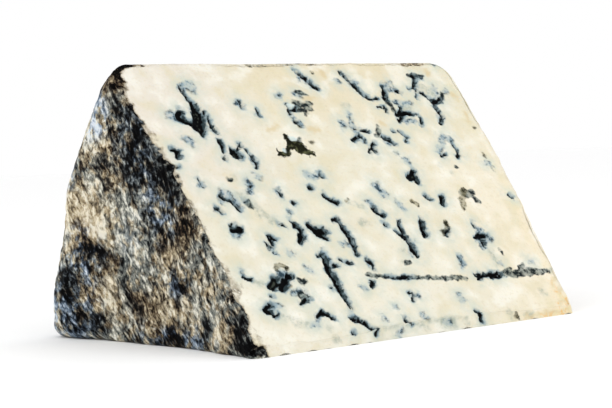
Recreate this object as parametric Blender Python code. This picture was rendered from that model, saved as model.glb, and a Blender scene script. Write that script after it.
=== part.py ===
"""A wedge of blue-veined cheese, cut from a whole wheel and lying on one of its two cut faces.

X runs along the wheel's axis, Y from the wedge's thin edge in front to its heel behind, and Z is up.
The origin is the middle of the footprint. Lengths are in metres.

The wheel is described by its radius, its angle and its distance along the axis. Its outline, from hub
to rim and back, is spun through the wedge's angle. The relief comes last: rind bumps, the blunt thin
edge, the ragged edges of the cut and the open cracks that the mould veins leave in the cut.
"""

import math

import bmesh
import bpy
from mathutils import Matrix, Vector, noise

# The wheel.
WHEEL_RADIUS = 0.140
HUB_HALF_WIDTH = 0.0835
LEFT, RIGHT = -1, 1
SHOULDER_RADIUS = {LEFT: 0.015, RIGHT: 0.010}
RIM_SPREAD = {LEFT: 0.0105, RIGHT: 0.0092}
FACE_DISH = {LEFT: 0.0075, RIGHT: -0.0026}

# The cut.
WEDGE_ANGLE = math.radians(53)
TIP_LOW_RADIUS = 0.0022
TIP_HIGH_RADIUS = 0.0045
TIP_FACET_EXTRA = 0.0024
TIP_FACET_MIDDLE = 0.012
TIP_FACET_REACH = 0.034
TIP_CORNER_WEAR = 0.003
TIP_CORNER_SIZE = 0.006

# The mesh.
COLUMNS = 56
FACE_ROWS = 38
SHOULDER_ROWS = 6
ANGLE_STEPS = 10
ANGLE_CROWDING = 0.6

# The relief.
RIND_BUMP = 0.0013
RIND_BUMP_SIZE = 0.017
RIND_PIT = 0.0006
RIND_PIT_SIZE = 0.006
RAGGED_EDGE = 0.0011
RAGGED_SIZE = 0.007
CUT_WAVE = 0.0005
CUT_WAVE_SIZE = 0.045
CHIP_DEPTH = 0.0016
EDGE_ROUND = 0.0012
HEEL_CORNER_ROUND = 0.0065
HEEL_CORNER_SIZE = 0.045
HEEL_CORNER_SLUMP = 0.0028
HEEL_SLUMP_SIZE = 0.046
SAME_PLACE = 1e-5

# The veins that are open cracks: places along each one (along X, and up the slope from the wheel's
# axis), then its half width and its depth.
OPEN_VEINS = (
    (((-0.057, 0.121), (-0.057, 0.112), (-0.060, 0.103)), 0.0042, 0.0032),
    (((-0.067, 0.113), (-0.062, 0.109)), 0.0034, 0.0018),
    (((-0.048, 0.093), (-0.048, 0.091)), 0.0036, 0.0018),
    (((-0.075, 0.096), (-0.076, 0.093)), 0.0028, 0.0012),
    (((-0.020, 0.100), (-0.017, 0.095), (-0.012, 0.091)), 0.0036, 0.0016),
    (((-0.066, 0.073), (-0.060, 0.067)), 0.0032, 0.0016),
    (((-0.066, 0.057), (-0.065, 0.057)), 0.0036, 0.0018),
    (((-0.029, 0.054), (-0.025, 0.052)), 0.0038, 0.0020),
    (((-0.037, 0.058), (-0.035, 0.053), (-0.038, 0.049)), 0.0028, 0.0014),
    (((-0.015, 0.057), (-0.013, 0.050), (-0.016, 0.045), (-0.014, 0.041)), 0.0030, 0.0016),
    (((-0.031, 0.043), (-0.032, 0.032), (-0.030, 0.018)), 0.0032, 0.0024),
    (((-0.062, 0.029), (-0.056, 0.032), (-0.052, 0.036)), 0.0040, 0.0024),
    (((-0.050, 0.026), (-0.050, 0.023)), 0.0038, 0.0016),
    (((-0.069, 0.020), (-0.065, 0.020)), 0.0034, 0.0018),
    (((-0.049, 0.012), (-0.045, 0.015), (-0.041, 0.012)), 0.0028, 0.0014),
    (((-0.033, 0.013), (-0.029, 0.009), (-0.024, 0.005)), 0.0030, 0.0018),
    (((-0.010, 0.036), (-0.010, 0.034)), 0.0030, 0.0012),
    (((0.014, 0.045), (0.014, 0.039)), 0.0036, 0.0022),
    (((0.026, 0.052), (0.026, 0.048)), 0.0030, 0.0014),
    (((0.036, 0.078), (0.037, 0.075)), 0.0038, 0.0020),
    (((0.038, 0.049), (0.036, 0.047)), 0.0032, 0.0012),
    (((0.052, 0.040), (0.057, 0.044)), 0.0036, 0.0016),
    (((0.056, 0.060), (0.060, 0.066)), 0.0032, 0.0014),
    (((0.030, 0.127), (0.033, 0.120), (0.040, 0.119)), 0.0030, 0.0014),
    (((0.046, 0.127), (0.044, 0.119)), 0.0034, 0.0016),
    (((0.045, 0.108), (0.050, 0.110), (0.055, 0.110)), 0.0034, 0.0020),
    (((0.066, 0.128), (0.063, 0.124), (0.070, 0.118), (0.070, 0.108)), 0.0034, 0.0018),
    (((0.031, 0.008), (0.032, 0.004)), 0.0034, 0.0020),
    (((0.040, 0.024), (0.084, 0.023)), 0.0030, 0.0012),
)

# Colours, linear.
PASTE_COLOUR = (0.86, 0.80, 0.66, 1.0)
RIND_COLOUR = (0.22, 0.19, 0.15, 1.0)
PASTE_ROUGHNESS = 0.5
RIND_ROUGHNESS = 0.85


def clear_scene():
    for obj in list(bpy.data.objects):
        bpy.data.objects.remove(obj)


def material(name, colour, roughness):
    made = bpy.data.materials.new(name)
    made.use_nodes = True
    shader = made.node_tree.nodes["Principled BSDF"]
    shader.inputs["Base Color"].default_value = colour
    shader.inputs["Roughness"].default_value = roughness
    shader.inputs["Metallic"].default_value = 0.0
    return made


def into_shoulder(side, radius):
    """The angle round the rim's rounded shoulder, from 0 on the flat face to a quarter turn at the rim."""
    climb = radius - (WHEEL_RADIUS - SHOULDER_RADIUS[side])
    return math.asin(min(max(climb / SHOULDER_RADIUS[side], 0.0), 1.0))


def face_reach(side, radius):
    """How far the wheel's flat face on this side lies from the wheel's mid plane at this radius."""
    t = radius / WHEEL_RADIUS
    flat = HUB_HALF_WIDTH + RIM_SPREAD[side] * t - FACE_DISH[side] * 4 * t * (1 - t)
    return flat - SHOULDER_RADIUS[side] * (1 - math.cos(into_shoulder(side, radius)))


def outline_radii():
    """The radii of the mesh rows: even steps up the flat face, then even angles round the shoulder."""
    first = TIP_HIGH_RADIUS
    shoulder = max(SHOULDER_RADIUS.values())
    last_flat = WHEEL_RADIUS - shoulder
    flat = [first + (last_flat - first) * row / FACE_ROWS for row in range(FACE_ROWS)]
    turns = [math.pi / 2 * row / SHOULDER_ROWS for row in range(SHOULDER_ROWS + 1)]
    return flat + [last_flat + shoulder * math.sin(turn) for turn in turns]


def add_cut_face(bm):
    """The cut through the wheel as a flat grid in the XY plane, its hub along the X axis."""
    rows = []
    for radius in outline_radii():
        left = -face_reach(LEFT, radius)
        right = face_reach(RIGHT, radius)
        places = [left + (right - left) * column / COLUMNS for column in range(COLUMNS + 1)]
        rows.append([bm.verts.new((x, radius, 0.0)) for x in places])
    for low, high in zip(rows, rows[1:]):
        for column in range(COLUMNS):
            bm.faces.new((low[column], low[column + 1], high[column + 1], high[column]))


def spin_wedge(bm):
    """Tilts the flat grid up to the wedge's angle, spins its edge back down and closes the flat bottom."""
    bmesh.ops.rotate(bm, verts=bm.verts, matrix=Matrix.Rotation(WEDGE_ANGLE, 3, "X"))
    edge = [e for e in bm.edges if e.is_boundary]
    spun = bmesh.ops.spin(bm, geom=edge, axis=(1, 0, 0), angle=-WEDGE_ANGLE, steps=ANGLE_STEPS)
    last = [item for item in spun["geom_last"] if isinstance(item, bmesh.types.BMEdge)]
    bmesh.ops.contextual_create(bm, geom=last)


def wheel_place(point):
    """The point's radius and angle on the wheel."""
    return math.hypot(point.y, point.z), math.atan2(point.z, point.y)


def crowd_towards_cuts(bm):
    """Turns the mesh rows round the axis, to lie closer together near the two cuts."""
    for vert in bm.verts:
        radius, angle = wheel_place(vert.co)
        share = angle / WEDGE_ANGLE
        share -= ANGLE_CROWDING * math.sin(2 * math.pi * share) / (2 * math.pi)
        vert.co.y = radius * math.cos(share * WEDGE_ANGLE)
        vert.co.z = radius * math.sin(share * WEDGE_ANGLE)


def ripple(point, size, seed):
    """Smooth noise between -1 and 1 with features of this size."""
    return noise.noise(point / size + Vector((seed, 0, 0)))


def distance_to_path(x, climb, path):
    """The distance from a place on the cut to a chain of straight steps."""
    nearest = math.inf
    place = Vector((x, climb))
    for start, end in zip(path, path[1:]):
        start, end = Vector(start), Vector(end)
        step = end - start
        along = min(max((place - start).dot(step) / step.length_squared, 0.0), 1.0)
        nearest = min(nearest, (place - start - step * along).length)
    return nearest


def crack_depth(x, climb):
    """How deep the open veins go at this place on the cut."""
    deepest = 0.0
    for path, half_width, depth in OPEN_VEINS:
        share = distance_to_path(x, climb, path) / half_width
        if share < 1:
            deepest = max(deepest, depth * (1 - share**2) ** 2)
    return deepest


def tip_radius(x, angle):
    """Where the blunt thin edge lies: a small steep facet, taller over part of its length, with chips."""
    from_middle = (x - TIP_FACET_MIDDLE) / TIP_FACET_REACH
    high = TIP_HIGH_RADIUS + TIP_FACET_EXTRA * math.exp(-(from_middle**4))
    chip = CHIP_DEPTH * max(0.0, ripple(Vector((x, 0, 0)), RAGGED_SIZE * 2, 5.0))
    share = angle / WEDGE_ANGLE
    wear = TIP_CORNER_WEAR * max(0.0, 1 - (x + HUB_HALF_WIDTH) / TIP_CORNER_SIZE) ** 2
    return TIP_LOW_RADIUS + wear + (high + chip - TIP_LOW_RADIUS) * share


def rind_normal(x, radius):
    """The rind's outward direction in the outline's own plane: along the axis, and away from it."""
    side = LEFT if x < 0 else RIGHT
    on_heel = radius > WHEEL_RADIUS - SAME_PLACE and abs(x) < face_reach(side, radius) - SAME_PLACE
    turn = math.pi / 2 if on_heel else into_shoulder(side, radius)
    return side * math.cos(turn), math.sin(turn)


def is_on_rind(x, radius):
    side = LEFT if x < 0 else RIGHT
    on_face = abs(x) > face_reach(side, radius) - SAME_PLACE
    return on_face or radius > WHEEL_RADIUS - SAME_PLACE


def rounded_edge(height, size):
    """How far a surface draws in, this high above an edge that is rounded by this size."""
    below = min(max(1 - height / size, 0.0), 1.0)
    return size * (1 - math.sqrt(1 - below**2))


def near_heel_corner(point, size):
    """How near a point is to the left lower corner of the heel: 1 there, and 0 from this far away."""
    corner = Vector((-face_reach(LEFT, WHEEL_RADIUS), WHEEL_RADIUS, 0))
    return max(0.0, 1 - (point - corner).length / size)


def edge_round(point, radius, angle):
    """How far the rind draws in next to the two cuts: most at the left lower corner of the heel."""
    nearness = near_heel_corner(point, HEEL_CORNER_SIZE)
    low_size = EDGE_ROUND + (HEEL_CORNER_ROUND - EDGE_ROUND) * nearness**0.5
    low = rounded_edge(point.z, low_size)
    return low + rounded_edge(radius * math.sin(WEDGE_ANGLE - angle), EDGE_ROUND)


def rind_relief(point, radius, angle, on_edge):
    """The rind's offset at a point: broad bumps and small pits, and ragged along the cut's edge."""
    along, out = rind_normal(point.x, radius)
    height = RIND_BUMP * ripple(point, RIND_BUMP_SIZE, 0.0)
    height -= RIND_PIT * abs(ripple(point, RIND_PIT_SIZE, 11.0))
    height += HEEL_CORNER_SLUMP * near_heel_corner(point, HEEL_SLUMP_SIZE)
    height -= edge_round(point, radius, angle)
    if on_edge:
        height -= RAGGED_EDGE * abs(ripple(point, RAGGED_SIZE, 23.0))
    return height * Vector((along, out * math.cos(angle), out * math.sin(angle)))


def add_relief(bm):
    """Moves every vertex of the plain wedge by the relief of the surface that it is on."""
    slope_out = Vector((0, -math.sin(WEDGE_ANGLE), math.cos(WEDGE_ANGLE)))
    moves = {}
    for vert in bm.verts:
        point = vert.co.copy()
        radius, angle = wheel_place(point)
        on_cut = angle > WEDGE_ANGLE - SAME_PLACE
        on_tip = radius < TIP_HIGH_RADIUS + SAME_PLACE
        target = point.copy()
        if on_tip:
            reach = tip_radius(point.x, angle)
            target.y = reach * math.cos(angle)
            target.z = reach * math.sin(angle)
        if is_on_rind(point.x, radius):
            on_edge = on_cut or angle < SAME_PLACE
            target += rind_relief(point, radius, angle, on_edge)
        elif on_cut and not on_tip:
            wave = CUT_WAVE * ripple(point, CUT_WAVE_SIZE, 31.0)
            target += slope_out * (wave - crack_depth(point.x, radius))
        moves[vert] = target
    for vert, target in moves.items():
        vert.co = target


def centre_on_footprint(bm):
    """Puts the origin under the middle of the wedge's box, on the floor."""
    lows = [min(vert.co[axis] for vert in bm.verts) for axis in range(3)]
    highs = [max(vert.co[axis] for vert in bm.verts) for axis in range(3)]
    shift = Vector((-(lows[0] + highs[0]) / 2, -(lows[1] + highs[1]) / 2, -lows[2]))
    bmesh.ops.translate(bm, verts=bm.verts, vec=shift)


def paint_rind(bm):
    """Gives the faces of the rind the second material."""
    for face in bm.faces:
        middle = face.calc_center_median()
        radius, angle = wheel_place(middle)
        side = LEFT if middle.x < 0 else RIGHT
        near_face = abs(middle.x) > face_reach(side, radius) - RIND_BUMP
        on_cut = angle > WEDGE_ANGLE - SAME_PLACE or len(face.verts) > 4
        if (near_face or radius > WHEEL_RADIUS - RIND_BUMP * 2) and not on_cut:
            face.material_index = 1


def build_wedge():
    bm = bmesh.new()
    add_cut_face(bm)
    spin_wedge(bm)
    crowd_towards_cuts(bm)
    paint_rind(bm)
    add_relief(bm)
    centre_on_footprint(bm)
    bmesh.ops.recalc_face_normals(bm, faces=bm.faces)
    mesh = bpy.data.meshes.new("wedge")
    bm.to_mesh(mesh)
    bm.free()
    mesh.materials.append(material("paste", PASTE_COLOUR, PASTE_ROUGHNESS))
    mesh.materials.append(material("rind", RIND_COLOUR, RIND_ROUGHNESS))
    mesh.shade_smooth()
    mesh.set_sharp_from_angle(angle=math.radians(40))
    wedge = bpy.data.objects.new("wedge", mesh)
    bpy.context.scene.collection.objects.link(wedge)


clear_scene()
build_wedge()
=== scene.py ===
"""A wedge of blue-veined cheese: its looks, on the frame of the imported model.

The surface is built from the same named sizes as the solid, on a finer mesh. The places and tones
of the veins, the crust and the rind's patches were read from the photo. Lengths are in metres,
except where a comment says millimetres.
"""

import math

import bpy
import numpy as np
from mathutils import Matrix, Vector, noise


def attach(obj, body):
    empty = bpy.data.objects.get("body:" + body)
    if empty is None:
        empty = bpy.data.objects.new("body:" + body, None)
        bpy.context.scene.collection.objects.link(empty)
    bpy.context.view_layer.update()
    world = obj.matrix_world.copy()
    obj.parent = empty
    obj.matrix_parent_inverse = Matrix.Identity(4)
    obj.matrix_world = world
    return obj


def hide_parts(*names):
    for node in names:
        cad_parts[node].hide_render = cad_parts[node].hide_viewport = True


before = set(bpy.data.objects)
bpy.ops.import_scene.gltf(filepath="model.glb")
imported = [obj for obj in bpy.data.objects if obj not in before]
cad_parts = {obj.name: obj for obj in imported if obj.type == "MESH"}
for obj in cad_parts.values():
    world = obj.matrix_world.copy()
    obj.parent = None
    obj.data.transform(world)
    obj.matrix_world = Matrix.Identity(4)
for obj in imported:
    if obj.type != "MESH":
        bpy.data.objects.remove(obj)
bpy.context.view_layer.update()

MM = 0.001

# The wheel.
WHEEL_RADIUS = 0.140
HUB_HALF_WIDTH = 0.0835
LEFT, RIGHT = -1, 1
SHOULDER_RADIUS = {LEFT: 0.015, RIGHT: 0.010}
RIM_SPREAD = {LEFT: 0.0105, RIGHT: 0.0092}
FACE_DISH = {LEFT: 0.0075, RIGHT: -0.0026}

# The cut.
WEDGE_ANGLE = math.radians(53)
TIP_LOW_RADIUS = 0.0022
TIP_HIGH_RADIUS = 0.0045
TIP_FACET_EXTRA = 0.0024
TIP_FACET_MIDDLE = 0.012
TIP_FACET_REACH = 0.034
TIP_CORNER_WEAR = 0.003
TIP_CORNER_SIZE = 0.006

# The mesh.
COLUMNS = 220
FACE_ROWS = 148
SHOULDER_ROWS = 12
ANGLE_STEPS = 82
ANGLE_CROWDING = 0.6

# The relief: heights, and the sizes of the noise or the form that gives them.
RIND_BUMP = 0.0013
RIND_BUMP_SIZE = 0.017
RIND_PIT = 0.0006
RIND_PIT_SIZE = 0.006
RIND_FIBRE = 0.00045
RIND_FIBRE_SCALE = 0.45
RIND_FIBRE_START = 0.004
STRAND_LEAN = 0.8
STRAND_LEAN_HEIGHT = 0.035
STRAND_STRETCH = 0.62
RAGGED_EDGE = 0.0011
RAGGED_SIZE = 0.007
CUT_WAVE = 0.0005
CUT_WAVE_SIZE = 0.045
CUT_SMEAR = 0.00022
CUT_SMEAR_SIZE = 0.008
CUT_CRUMB = 0.00012
CUT_CRUMB_SIZE = 0.0026
VEIN_DEPTH = 0.0018
CHIP_DEPTH = 0.0016
TIP_SLOPE_END = 0.016
TIP_ROUND = 0.0004
TIP_ROUND_SIZE = 0.0011
TIP_LUMP = 0.0008
TIP_LUMP_SIZE = 0.0045
TIP_NOTCH = 0.0013
TIP_NOTCH_SIZE = 0.0065
TIP_NOTCH_LEAST = 0.05
TIP_OUT = Vector((0, -1, 0.3))
KNOB = Vector((0.0268, 0.0038))
KNOB_SIZE = 0.0046
KNOB_HEIGHT = 0.0014
KNOB_BLUNT = 0.7
EDGE_ROUND = 0.0012
HEEL_CORNER_ROUND = 0.0065
HEEL_CORNER_SIZE = 0.045
HEEL_CORNER_SLUMP = 0.0028
HEEL_SLUMP_SIZE = 0.046
SAME_PLACE = 1e-5
SHARP_FROM = math.radians(50)

# The veins of each tone: their half widths at both ends and their places, along X and up the slope
# from the wheel's axis, in millimetres. TONES adds the black cores of the dark ones, which are
# partly the mould's own dark and partly painted shadow on one side of each vein's hollow.
VEINS = {}
VEINS["dark"] = (
    (0.7, 0.9, (-59, 128.5), (-60, 125.5), (-59, 123.5)), (1, 1, (-58.7, 122.5), (-58, 120)),
    (1.5, 3.1, (-57.2, 119), (-57.3, 113.5)), (3.1, 3, (-57.3, 113.5), (-58.6, 107.5)),
    (2.8, 1.2, (-58.8, 107), (-59.5, 102.5)), (0.6, 0.8, (-53.8, 115), (-52.8, 111), (-53.8, 106)),
    (1.6, 1.8, (-65, 115.5), (-66.8, 112), (-62.2, 108.5), (-60, 106)),
    (1.2, 0.8, (-52.8, 105), (-52.4, 103.8)), (1.2, 0.9, (-53, 99.6), (-53.4, 94.5)),
    (1.3, 1.5, (-76.8, 96.8), (-75, 95), (-75.6, 93)), (2.6, 2.4, (-48.4, 93.2), (-47.6, 91.8)),
    (0.9, 1.1, (-45.6, 95.6), (-44.2, 97)),
    (0.6, 0.6, (-42.6, 94.5), (-41, 90), (-40.7, 87), (-41.5, 85.5)),
    (0.8, 0.7, (-55, 91.2), (-54.8, 90.4)), (0.6, 0.6, (-79, 87.2), (-77.4, 87.8)),
    (0.6, 0.6, (-71.3, 81.6), (-71.2, 79.5), (-70.8, 78)), (0.9, 0.7, (-48.4, 76.8), (-49, 75.8)),
    (0.7, 0.8, (-36.8, 74.4), (-36, 71)), (1.4, 0.9, (-64.3, 73), (-63.4, 71.4)),
    (0.9, 0.6, (-63.4, 71.4), (-61.2, 70.2), (-60, 68)), (0.7, 0.9, (-60, 68), (-59.2, 65.6)),
    (0.6, 0.6, (-69.7, 67.8), (-68.6, 66.8), (-67.6, 65.2)), (0.9, 0.7, (-55.2, 70), (-54.6, 69.7)),
    (0.9, 0.9, (-32.2, 67), (-31.4, 67)), (0.6, 0.8, (-44.3, 58.2), (-42.8, 57.3), (-41.9, 56.8)),
    (0.6, 0.6, (-66.4, 59.2), (-64.2, 59.5), (-62.3, 57.7), (-62.9, 55.6)),
    (2, 1.9, (-65.8, 57.2), (-64.2, 56.6)), (1.1, 1.1, (-51.4, 53), (-51, 51.5), (-51.2, 50)),
    (0.7, 0.6, (-50.4, 51.9), (-48.4, 50.4)), (0.9, 0.6, (-51.3, 49.6), (-51.8, 47.6)),
    (0.7, 0.8, (-54, 49.2), (-54.2, 46.9)), (0.6, 0.6, (-52.5, 45), (-52.2, 44.5)),
    (0.6, 1.4, (-38, 59.5), (-35.6, 54.5)), (1.4, 1.3, (-35.6, 54.5), (-35.2, 52), (-38.4, 49)),
    (0.6, 0.6, (-36, 63.2), (-35.8, 62.6)), (1.7, 2.6, (-30, 56.4), (-27.4, 53)),
    (2.4, 1.7, (-27.4, 53), (-23.6, 53)), (2.2, 1.3, (-26.6, 52.4), (-25, 49.4)),
    (1.3, 1.1, (-20.4, 74), (-19.6, 74)), (1.3, 1.1, (-12.3, 80.4), (-11.4, 79.2)),
    (1.1, 1, (-15.8, 70), (-14.8, 68.8)), (1.3, 1.4, (-13.2, 67.8), (-10.8, 65.6)),
    (1.3, 1.5, (6, 61.8), (8, 59), (9.2, 58)), (1, 1, (7.5, 53.6), (7.6, 52.5)),
    (1.1, 1.1, (37, 66), (39, 64)), (1.3, 1.4, (46, 64.6), (44, 61)),
    (1.8, 2.2, (33.8, 76), (37.6, 76.8)), (1.5, 1.4, (38, 79), (37, 73.5)),
    (0.6, 0.8, (2.6, 137), (4.3, 134), (5, 132.6)),
    (0.9, 1, (5, 132.6), (8, 128.5), (10.4, 125.6)), (0.6, 0.6, (5.5, 133), (8.2, 131.2)),
    (0.8, 1.2, (27.2, 135.2), (30, 131), (31.5, 127)),
    (1.2, 1.1, (31.5, 127), (34, 121.5), (37, 119.5)), (1, 0.7, (37, 119.5), (40.8, 119.3)),
    (0.6, 0.6, (-12.3, 123.2), (-11.8, 122.6)),
    (1, 0.9, (-34, 119.4), (-33.8, 118), (-34.1, 116.4)),
    (0.6, 0.6, (-27.6, 114.8), (-27.4, 113), (-27.7, 111.8)),
    (1, 0.9, (-8.8, 114.6), (-7.4, 114.1), (-6.8, 115.4)),
    (0.6, 0.7, (-10.7, 117.4), (-10.9, 115), (-11.7, 112)),
    (0.6, 0.7, (-11.4, 107.8), (-10, 107.6), (-9.6, 106)),
    (0.8, 0.8, (18.5, 103.3), (22, 102.7), (25, 101)),
    (0.7, 0.8, (14, 96.5), (17, 99), (19.5, 99.5), (20.5, 96)),
    (0.8, 0.9, (25, 95.5), (23, 92.5), (22.8, 90)), (0.6, 0.6, (19.5, 90), (22, 92.5)),
    (1.1, 1.2, (31.5, 98), (34, 96.8), (35.5, 94)), (0.6, 0.6, (38.6, 101.3), (39, 100.7)),
    (0.6, 0.7, (42.3, 100.5), (45, 97.5), (43, 94.8)),
    (0.6, 0.7, (38.2, 114.8), (42.2, 114.5), (41.5, 112)),
    (1.2, 1.5, (47.2, 126.5), (46.6, 123), (45, 119.5)), (0.8, 0.8, (53.5, 123.5), (55.5, 122.5)),
    (0.9, 1.7, (46, 110), (50, 111.2)), (1.7, 0.9, (50, 111.2), (56, 110.2)),
    (1.1, 1.2, (46, 106.5), (49, 109)), (0.6, 0.6, (50.5, 114), (50.4, 112)),
    (0.7, 0.7, (58.5, 109.5), (59, 108), (56.8, 103.5)), (1, 1, (68, 132), (73, 131.4)),
    (1.1, 1.5, (68, 130), (66.8, 127)), (1.5, 1, (66.8, 127), (65, 125)),
    (0.6, 0.6, (65, 126), (61.5, 124.8)), (0.6, 0.6, (65, 122.5), (63.5, 119)),
    (0.8, 1.1, (65.8, 123.2), (68.5, 122), (70.5, 119), (71.6, 116)),
    (1.5, 1.3, (72.4, 116.6), (77.6, 118.8)), (1, 0.9, (70.8, 114), (72.2, 108.5), (69, 104.5)),
    (0.6, 0.7, (68.5, 94), (69.2, 89.5), (69.5, 86.5), (67, 85.5)),
    (0.8, 0.8, (58.5, 86.5), (61.5, 86.8)), (0.6, 0.6, (84.8, 139.1), (85.2, 138.9)),
    (0.8, 0.8, (85.4, 63), (85.8, 62)), (1, 1, (55, 50.2), (55, 48.8)),
    (0.7, 1.2, (51.8, 42.8), (54.5, 43.7)), (1.2, 1.4, (54.5, 43.7), (57.5, 43.2)),
    (1.3, 0.8, (57.5, 43.2), (60.2, 43.2)), (1.4, 0.8, (55, 42.4), (54.8, 40.5), (54.2, 38.2)),
    (0.9, 1.8, (27.7, 54.4), (26, 48)), (1.8, 1.4, (26, 48), (25.6, 46.6)),
    (0.9, 1, (39.6, 48), (36.6, 45.4)), (0.7, 1.2, (15.6, 54.6), (14.2, 47)),
    (0.7, 1.7, (14.4, 46.5), (15, 43), (15.2, 40.5)),
    (1.8, 0.8, (15.2, 40.5), (15.9, 38), (15.8, 36.3)), (0.7, 0.8, (11.4, 49.4), (13.8, 45.4)),
    (0.6, 0.6, (36.6, 34.7), (37.6, 33), (37.2, 31)), (0.7, 0.9, (-17.4, 57.4), (-15, 57.8)),
    (0.9, 1.4, (-15, 57.8), (-14.4, 53), (-13.4, 49)), (1.3, 1.7, (-13.4, 49), (-13.4, 44.8)),
    (1.3, 1, (-13.6, 43.6), (-14, 40.6)), (1.2, 1.8, (-30.6, 42), (-31, 35)),
    (1.8, 1.5, (-31, 35), (-30.5, 26)), (1.5, 0.8, (-30.5, 26), (-29.7, 16)),
    (1.1, 0.9, (-29, 36), (-26.5, 36.3)), (0.7, 0.7, (-33, 41.5), (-30.8, 42.8)),
    (0.7, 0.7, (-23.8, 39), (-22, 37.5), (-18.6, 36.5)),
    (0.7, 0.7, (-11, 37.5), (-8.6, 35.3), (-9.6, 32.8)),
    (0.6, 0.6, (-14, 27.5), (-12.8, 26.3), (-14.5, 25.3)), (0.7, 0.6, (-71.8, 35.5), (-68.8, 33.8)),
    (2.2, 2.4, (-61, 29.8), (-57.8, 32.4)), (1.5, 1.8, (-50.6, 34), (-53.4, 32), (-57, 28.4)),
    (0.9, 0.8, (-52, 21), (-48, 22.5)), (0.6, 0.6, (-47, 26.5), (-46.5, 22.5)),
    (0.6, 0.6, (-63.7, 25.5), (-63.3, 25.3)), (1.7, 1.5, (-68.7, 20.3), (-65.5, 22)),
    (1.5, 1.3, (-68, 19.2), (-67, 18.8)), (0.8, 0.8, (-66.5, 16.5), (-64.8, 17.8)),
    (0.8, 1.2, (-47.5, 14.5), (-44.2, 15.8)), (1.2, 0.7, (-44.2, 15.8), (-40.2, 12.8)),
    (0.6, 0.6, (-34.8, 26.5), (-34.4, 26.2)), (1.1, 1, (-31.8, 11.5), (-29.2, 11)),
    (1.1, 0.8, (-29.2, 11), (-26.5, 8.8), (-25, 6.6)), (0.7, 0.6, (-25, 6.6), (-22.2, 5.3)),
    (0.9, 0.9, (-23.2, 4.4), (-22.9, 2.6)), (0.9, 0.8, (-34.1, 6.1), (-33.6, 5.9)),
    (0.9, 0.6, (-6.8, 8.7), (-4.3, 5.2)),
    (0.6, 0.7, (1.2, 20.2), (3, 20), (4.3, 18.7), (1.5, 16.8)),
    (0.6, 0.8, (30.4, 8.3), (31.6, 6), (32.5, 4.4), (32.8, 1.5)),
    (0.7, 0.9, (-6, 28.9), (0, 27.7), (3, 27.3)), (0.9, 0.6, (3, 27.3), (8.2, 26.8)),
    (0.7, 1.2, (40.4, 24.7), (43, 24.2), (46, 24)), (0.7, 0.9, (41, 22.5), (43.6, 23.3)),
    (1.1, 0.8, (46, 24), (50, 24.3), (54.5, 24.3)),
    (1.2, 1, (48.8, 22.8), (52, 22.7), (55.4, 23.4)),
)
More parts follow.
